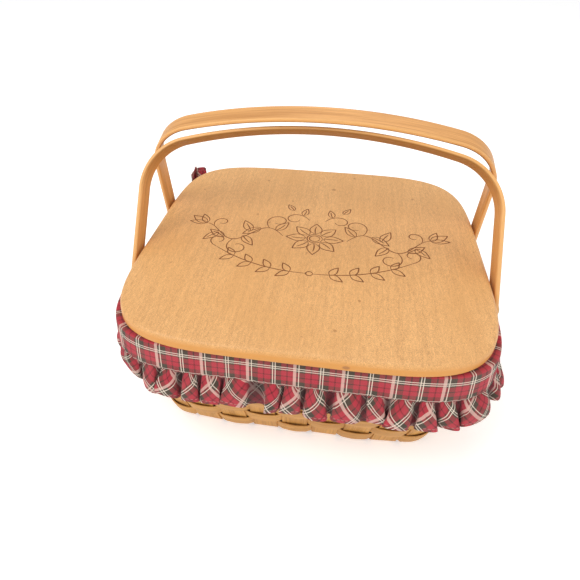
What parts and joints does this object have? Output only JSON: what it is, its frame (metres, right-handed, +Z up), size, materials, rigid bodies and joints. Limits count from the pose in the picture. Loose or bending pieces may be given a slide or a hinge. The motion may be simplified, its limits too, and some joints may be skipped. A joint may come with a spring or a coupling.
{
  "type": "lidded splint basket",
  "caption": "Square splint basket with a loose wooden lid, bentwood rim, swing handles on rivets and a plaid cloth liner whose flap and gathered ruffle hang over the rim.",
  "frame": {"origin": "on the supporting surface under the middle of the basket", "axes": "+Z up through the lid, -Y towards the front of the basket, +X to its right along the handle rivets"},
  "size_m": [0.3412, 0.3424, 0.253],
  "materials": {
    "splint": "thin maple splint, clear stain, matt",
    "bentwood": "steam-bent maple strip, clear stain, satin",
    "lid_wood": "fine-grained maple panel, satin, with a burnt-line ornament",
    "plaid_cloth": "woven cotton plaid in crimson, grey green and cream",
    "brass": "dull brass"
  },
  "bodies": {
    "basket": {"stake_front_back_1": "splint", "stake_front_back_2": "splint", "stake_front_back_3": "splint", "stake_front_back_4": "splint", "stake_front_back_5": "splint", "stake_front_back_6": "splint", "stake_front_back_7": "splint", "stake_front_back_8": "splint", "stake_front_back_9": "splint", "stake_left_right_1": "splint", "stake_left_right_2": "splint", "stake_left_right_3": "splint", "stake_left_right_4": "splint", "stake_left_right_5": "splint", "stake_left_right_6": "splint", "stake_left_right_7": "splint", "stake_left_right_8": "splint", "stake_left_right_9": "splint", "weaver_1": "splint", "weaver_2": "splint", "weaver_3": "splint", "weaver_4": "splint", "weaver_5": "splint", "weaver_6": "splint", "weaver_7": "splint", "rim_outer": "bentwood", "rim_inner": "bentwood", "rivet_front_right": "brass", "rivet_front_left": "brass", "rivet_rear_right": "brass", "rivet_rear_left": "brass", "washer_front_right": "brass", "washer_front_left": "brass", "washer_rear_right": "brass", "washer_rear_left": "brass", "liner_bag": "plaid_cloth", "liner_flap_front": "plaid_cloth", "liner_flap_rear": "plaid_cloth", "liner_ruffle_front": "plaid_cloth", "liner_ruffle_rear": "plaid_cloth"},
    "lid": {"lid_panel": "lid_wood", "lid_cleat_front": "lid_wood", "lid_cleat_rear": "lid_wood"},
    "front_handle": {"handle_front": "bentwood"},
    "rear_handle": {"handle_rear": "bentwood"}
  },
  "joints": [
    {"name": "lid_lift", "type": "slide", "parent": "basket", "child": "lid", "axis": [0, 0, 1], "range_m": [0, 0.05]},
    {"name": "front_handle_swing", "type": "hinge", "parent": "basket", "child": "front_handle", "pos_m": [0, -0.057, 0.107], "axis": [1, 0, 0], "range_deg": [0, 122]},
    {"name": "rear_handle_swing", "type": "hinge", "parent": "basket", "child": "rear_handle", "pos_m": [0, 0.057, 0.107], "axis": [-1, 0, 0], "range_deg": [0, 106]}
  ]
}
